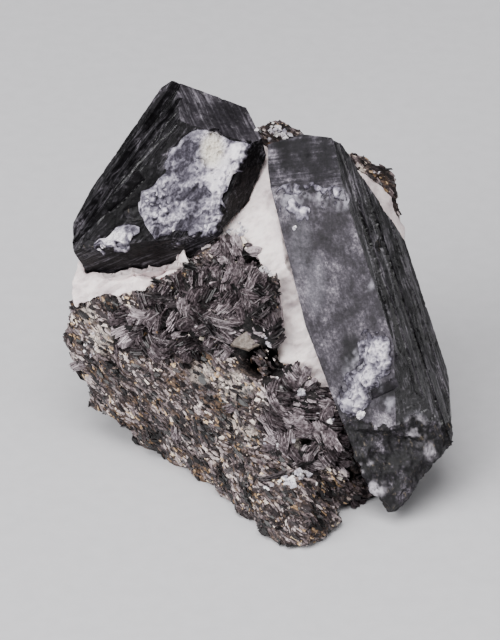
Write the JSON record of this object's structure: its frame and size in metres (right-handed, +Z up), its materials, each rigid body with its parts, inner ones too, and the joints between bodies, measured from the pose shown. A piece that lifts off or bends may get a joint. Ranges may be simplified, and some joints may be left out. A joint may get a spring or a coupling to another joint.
{
  "type": "sapphirine specimen",
  "caption": "Hand-size mineral specimen that stands on its broken base: dark sapphirine crystals in white calcite on rough mica rock, with pale crusts on the crystal faces.",
  "frame": {"origin": "middle of the specimen's bounding box, on the plane that it rests on", "axes": "+Z up, -Y towards the side that shows both crystals, +X to the right of a viewer who looks along +Y"},
  "size_m": [0.0664, 0.0568, 0.0613],
  "materials": {
    "sapphirine": "near-black natural crystal faces, satin to glassy, with fine growth lines",
    "mica_rock": "rough broken rock of dark mica plates with pale and tan grains",
    "calcite": "white to pinkish, coarse, slightly translucent",
    "crust": "lumpy white to blue-grey crust, slightly waxy"
  },
  "bodies": {
    "root": {"right_crystal": "sapphirine", "left_crystal": "sapphirine", "mica_rock": "mica_rock", "back_mica_rock": "mica_rock", "calcite": "calcite", "left_crust": "crust", "left_patch": "crust", "right_upper_crust": "crust", "right_lower_crust": "crust"}
  },
  "joints": []
}
